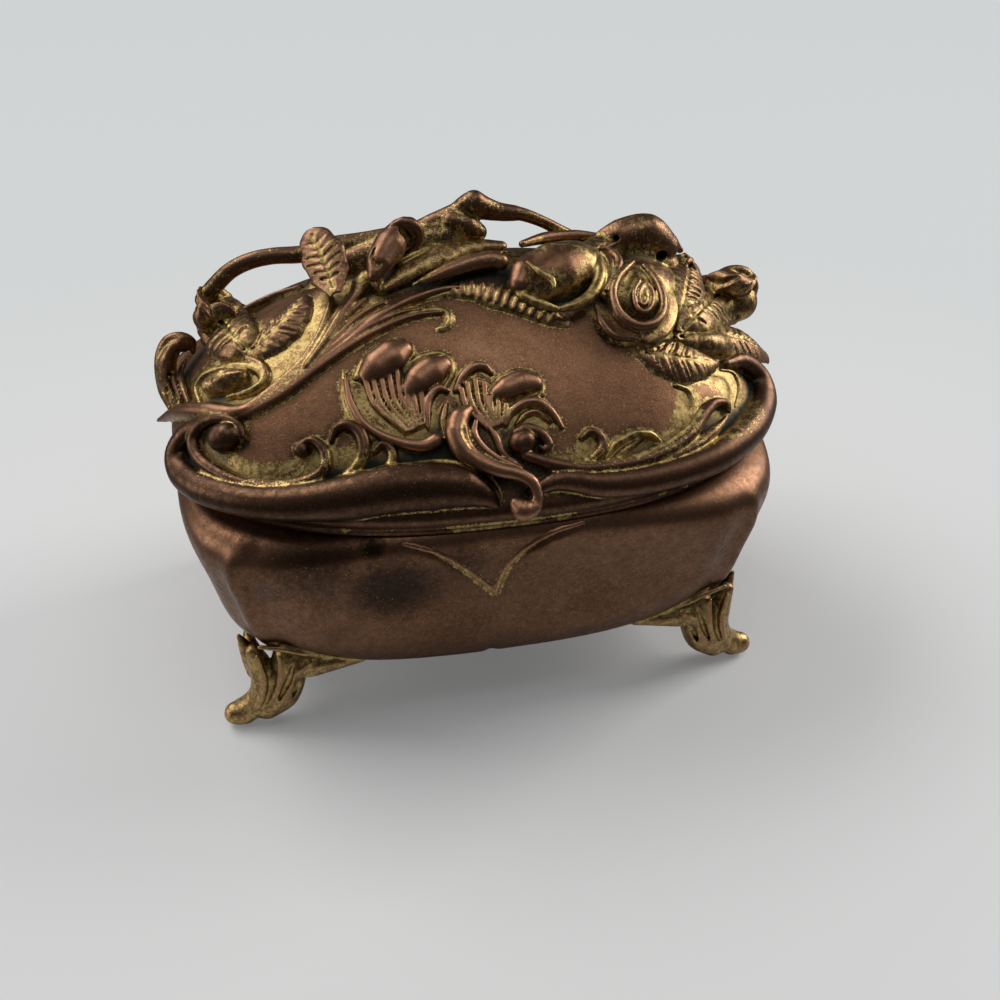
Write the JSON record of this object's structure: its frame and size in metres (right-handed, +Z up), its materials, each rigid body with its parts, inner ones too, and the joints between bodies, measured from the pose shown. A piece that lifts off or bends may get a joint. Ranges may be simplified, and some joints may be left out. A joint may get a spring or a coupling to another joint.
{
  "type": "jewelry casket",
  "caption": "Footed cast-metal jewelry casket with a domed, rear-hinged lid dressed in scrolls, leaves and a rose, lined with padded silk.",
  "frame": {"origin": "on the surface the feet stand on, under the middle of the casket's box", "axes": "+X to the right as seen from the front, +Y to the back where the hinge is, +Z up"},
  "size_m": [0.146, 0.1101, 0.1101],
  "materials": {
    "copper_casting": "copper-plated casting with a satin brown patina",
    "gilt_ornament": "copper plate over gilding, gilt in the recesses",
    "gilt_feet": "worn gilding",
    "hinge_brass": "dull brass",
    "silk": "aged silk satin",
    "silk_cord": "twisted silk",
    "card": "plain card"
  },
  "bodies": {
    "base": {"body_casting": "copper_casting", "foot_front_left": "gilt_feet", "foot_front_right": "gilt_feet", "foot_rear_left": "gilt_feet", "foot_rear_right": "gilt_feet", "hinge_leaf_body": "hinge_brass", "hinge_pin": "hinge_brass", "floor_board": "card", "floor_pad": "silk", "wall_pad_front": "silk", "wall_pad_back": "silk", "wall_pad_left": "silk", "wall_pad_right": "silk", "mouth_cord": "silk_cord"},
    "lid": {"lid_casting": "copper_casting", "hinge_leaf_lid": "hinge_brass", "lid_lining": "silk", "lid_cord": "silk_cord", "rim_scroll_left": "gilt_ornament", "rim_scroll_right": "gilt_ornament", "rim_back_roll": "gilt_ornament", "end_scroll_left": "gilt_ornament", "stem_bundle": "gilt_ornament", "shell_fan_left": "gilt_ornament", "shell_fan_right": "gilt_ornament", "shell_drop": "gilt_ornament", "branch_gallery": "gilt_ornament", "leaf_left_outer": "gilt_ornament", "leaf_left_inner": "gilt_ornament", "leaf_upright": "gilt_ornament", "tall_bud": "gilt_ornament", "pod_leaf": "gilt_ornament", "scalloped_leaf": "gilt_ornament", "rose_bloom": "gilt_ornament", "egg_bud": "gilt_ornament", "leaf_right_upper": "gilt_ornament", "leaf_right_back": "gilt_ornament", "leaf_right_outer": "gilt_ornament", "leaf_right_lower": "gilt_ornament"}
  },
  "joints": [
    {"name": "lid_hinge", "type": "hinge", "parent": "base", "child": "lid", "pos_m": [0, 0.0512, 0.057], "axis": [-1, 0, 0], "range_deg": [0, 100]}
  ]
}
